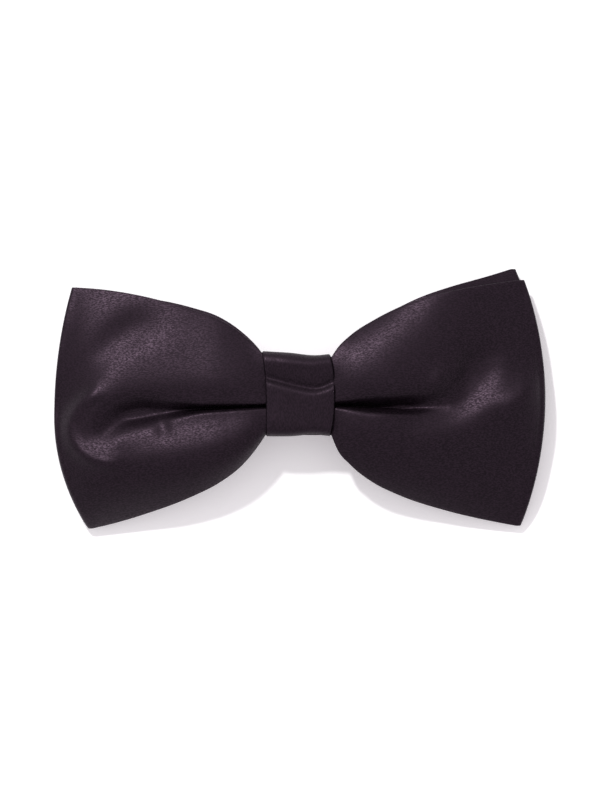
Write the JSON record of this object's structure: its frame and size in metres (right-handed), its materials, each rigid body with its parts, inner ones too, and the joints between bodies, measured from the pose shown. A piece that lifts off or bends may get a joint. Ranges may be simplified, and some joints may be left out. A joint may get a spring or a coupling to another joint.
{
  "type": "bow tie",
  "caption": "Pre-tied satin bow tie: gathered loops in a wrapped knot, on an adjustable neck band that folds flat behind the bow and closes with a hook and eye.",
  "frame": {"origin": "centre of the bounding box in X and Y, on the surface that the tie lies on its back on", "axes": "+X to the right across the bow's width as the front is seen, +Y up as worn, +Z out of the bow's front"},
  "size_m": [0.12, 0.064, 0.0151],
  "materials": {
    "bow_satin": "dark purple-black satin",
    "band_satin": "dark purple-black satin ribbon",
    "interlining": "off-white woven interlining",
    "thread": "dark sewing thread",
    "label": "woven label, blank",
    "metal": "bright nickel plate"
  },
  "bodies": {
    "bow": {"front_bow_satin": "bow_satin", "front_bow_interlining": "interlining", "front_bow_facing": "bow_satin", "rear_bow_satin": "bow_satin", "rear_bow_interlining": "interlining", "rear_bow_facing": "bow_satin", "waist_binding_thread": "thread", "knot_wrap": "bow_satin", "knot_interlining": "interlining", "knot_closing_stitches": "thread", "band_center": "band_satin"},
    "left_panel_1": {"band_left_fold_1": "band_satin", "band_left_panel_1": "band_satin", "blank_label": "label"},
    "left_panel_2": {"band_left_fold_2": "band_satin", "band_left_panel_2": "band_satin"},
    "left_panel_3": {"band_left_fold_3": "band_satin", "band_left_panel_3": "band_satin", "eye_bartack": "thread"},
    "eye": {"eye": "metal"},
    "right_panel_1": {"band_right_fold_1": "band_satin", "band_right_panel_1": "band_satin"},
    "right_panel_2": {"band_right_fold_2": "band_satin", "band_right_panel_2": "band_satin"},
    "right_panel_3": {"band_right_fold_3": "band_satin", "band_right_panel_3": "band_satin"},
    "hook_end": {"band_right_hook_run": "band_satin", "band_right_hook_turn": "band_satin"},
    "hook": {"hook": "metal"},
    "slider": {"size_slider": "metal", "band_right_tail": "band_satin", "band_right_slider_turn": "band_satin", "tail_bartack": "thread"}
  },
  "joints": [
    {"name": "left_fold_1", "type": "hinge", "parent": "bow", "child": "left_panel_1", "pos_m": [-0.05049, 0.0007, 0.00625], "axis": [0, 1, 0], "range_deg": [0, 180], "deforming": ["band_left_fold_1"]},
    {"name": "left_fold_2", "type": "hinge", "parent": "left_panel_1", "child": "left_panel_2", "pos_m": [-0.00506, 0.0007, 0.0047], "axis": [0, -1, 0], "range_deg": [0, 180], "deforming": ["band_left_fold_2"]},
    {"name": "left_fold_3", "type": "hinge", "parent": "left_panel_2", "child": "left_panel_3", "pos_m": [-0.05037, 0.0007, 0.00323], "axis": [0, 1, 0], "range_deg": [0, 180], "deforming": ["band_left_fold_3"]},
    {"name": "right_fold_1", "type": "hinge", "parent": "bow", "child": "right_panel_1", "pos_m": [0.05049, 0.0007, 0.00625], "axis": [0, -1, 0], "range_deg": [0, 180], "deforming": ["band_right_fold_1"]},
    {"name": "right_fold_2", "type": "hinge", "parent": "right_panel_1", "child": "right_panel_2", "pos_m": [0.00506, 0.0007, 0.0047], "axis": [0, 1, 0], "range_deg": [0, 180], "deforming": ["band_right_fold_2"]},
    {"name": "right_fold_3", "type": "hinge", "parent": "right_panel_2", "child": "right_panel_3", "pos_m": [0.05037, 0.0007, 0.00323], "axis": [0, -1, 0], "range_deg": [0, 180], "deforming": ["band_right_fold_3"]},
    {"name": "eye_swing", "type": "hinge", "parent": "left_panel_3", "child": "eye", "pos_m": [-0.018, 0.0007, 0.00133], "axis": [0, 1, 0], "range_deg": [0, 80]},
    {"name": "size_adjust", "type": "slide", "parent": "right_panel_3", "child": "hook_end", "axis": [1, 0, 0], "range_m": [-0.008, 0], "deforming": ["band_right_hook_run"]},
    {"name": "slider_follow", "type": "slide", "parent": "hook_end", "child": "slider", "axis": [1, 0, 0], "range_m": [-0.008, 0], "deforming": ["band_right_tail"]},
    {"name": "hook_swing", "type": "hinge", "parent": "hook_end", "child": "hook", "pos_m": [0.018, 0.0007, 0.00133], "axis": [0, -1, 0], "range_deg": [0, 80]}
  ],
  "couplings": [
    {"joint": "left_fold_2", "follows": "left_fold_1", "ratio": 1},
    {"joint": "left_fold_3", "follows": "left_fold_1", "ratio": 1},
    {"joint": "right_fold_2", "follows": "right_fold_1", "ratio": 1},
    {"joint": "right_fold_3", "follows": "right_fold_1", "ratio": 1},
    {"joint": "slider_follow", "follows": "size_adjust", "ratio": 1}
  ]
}
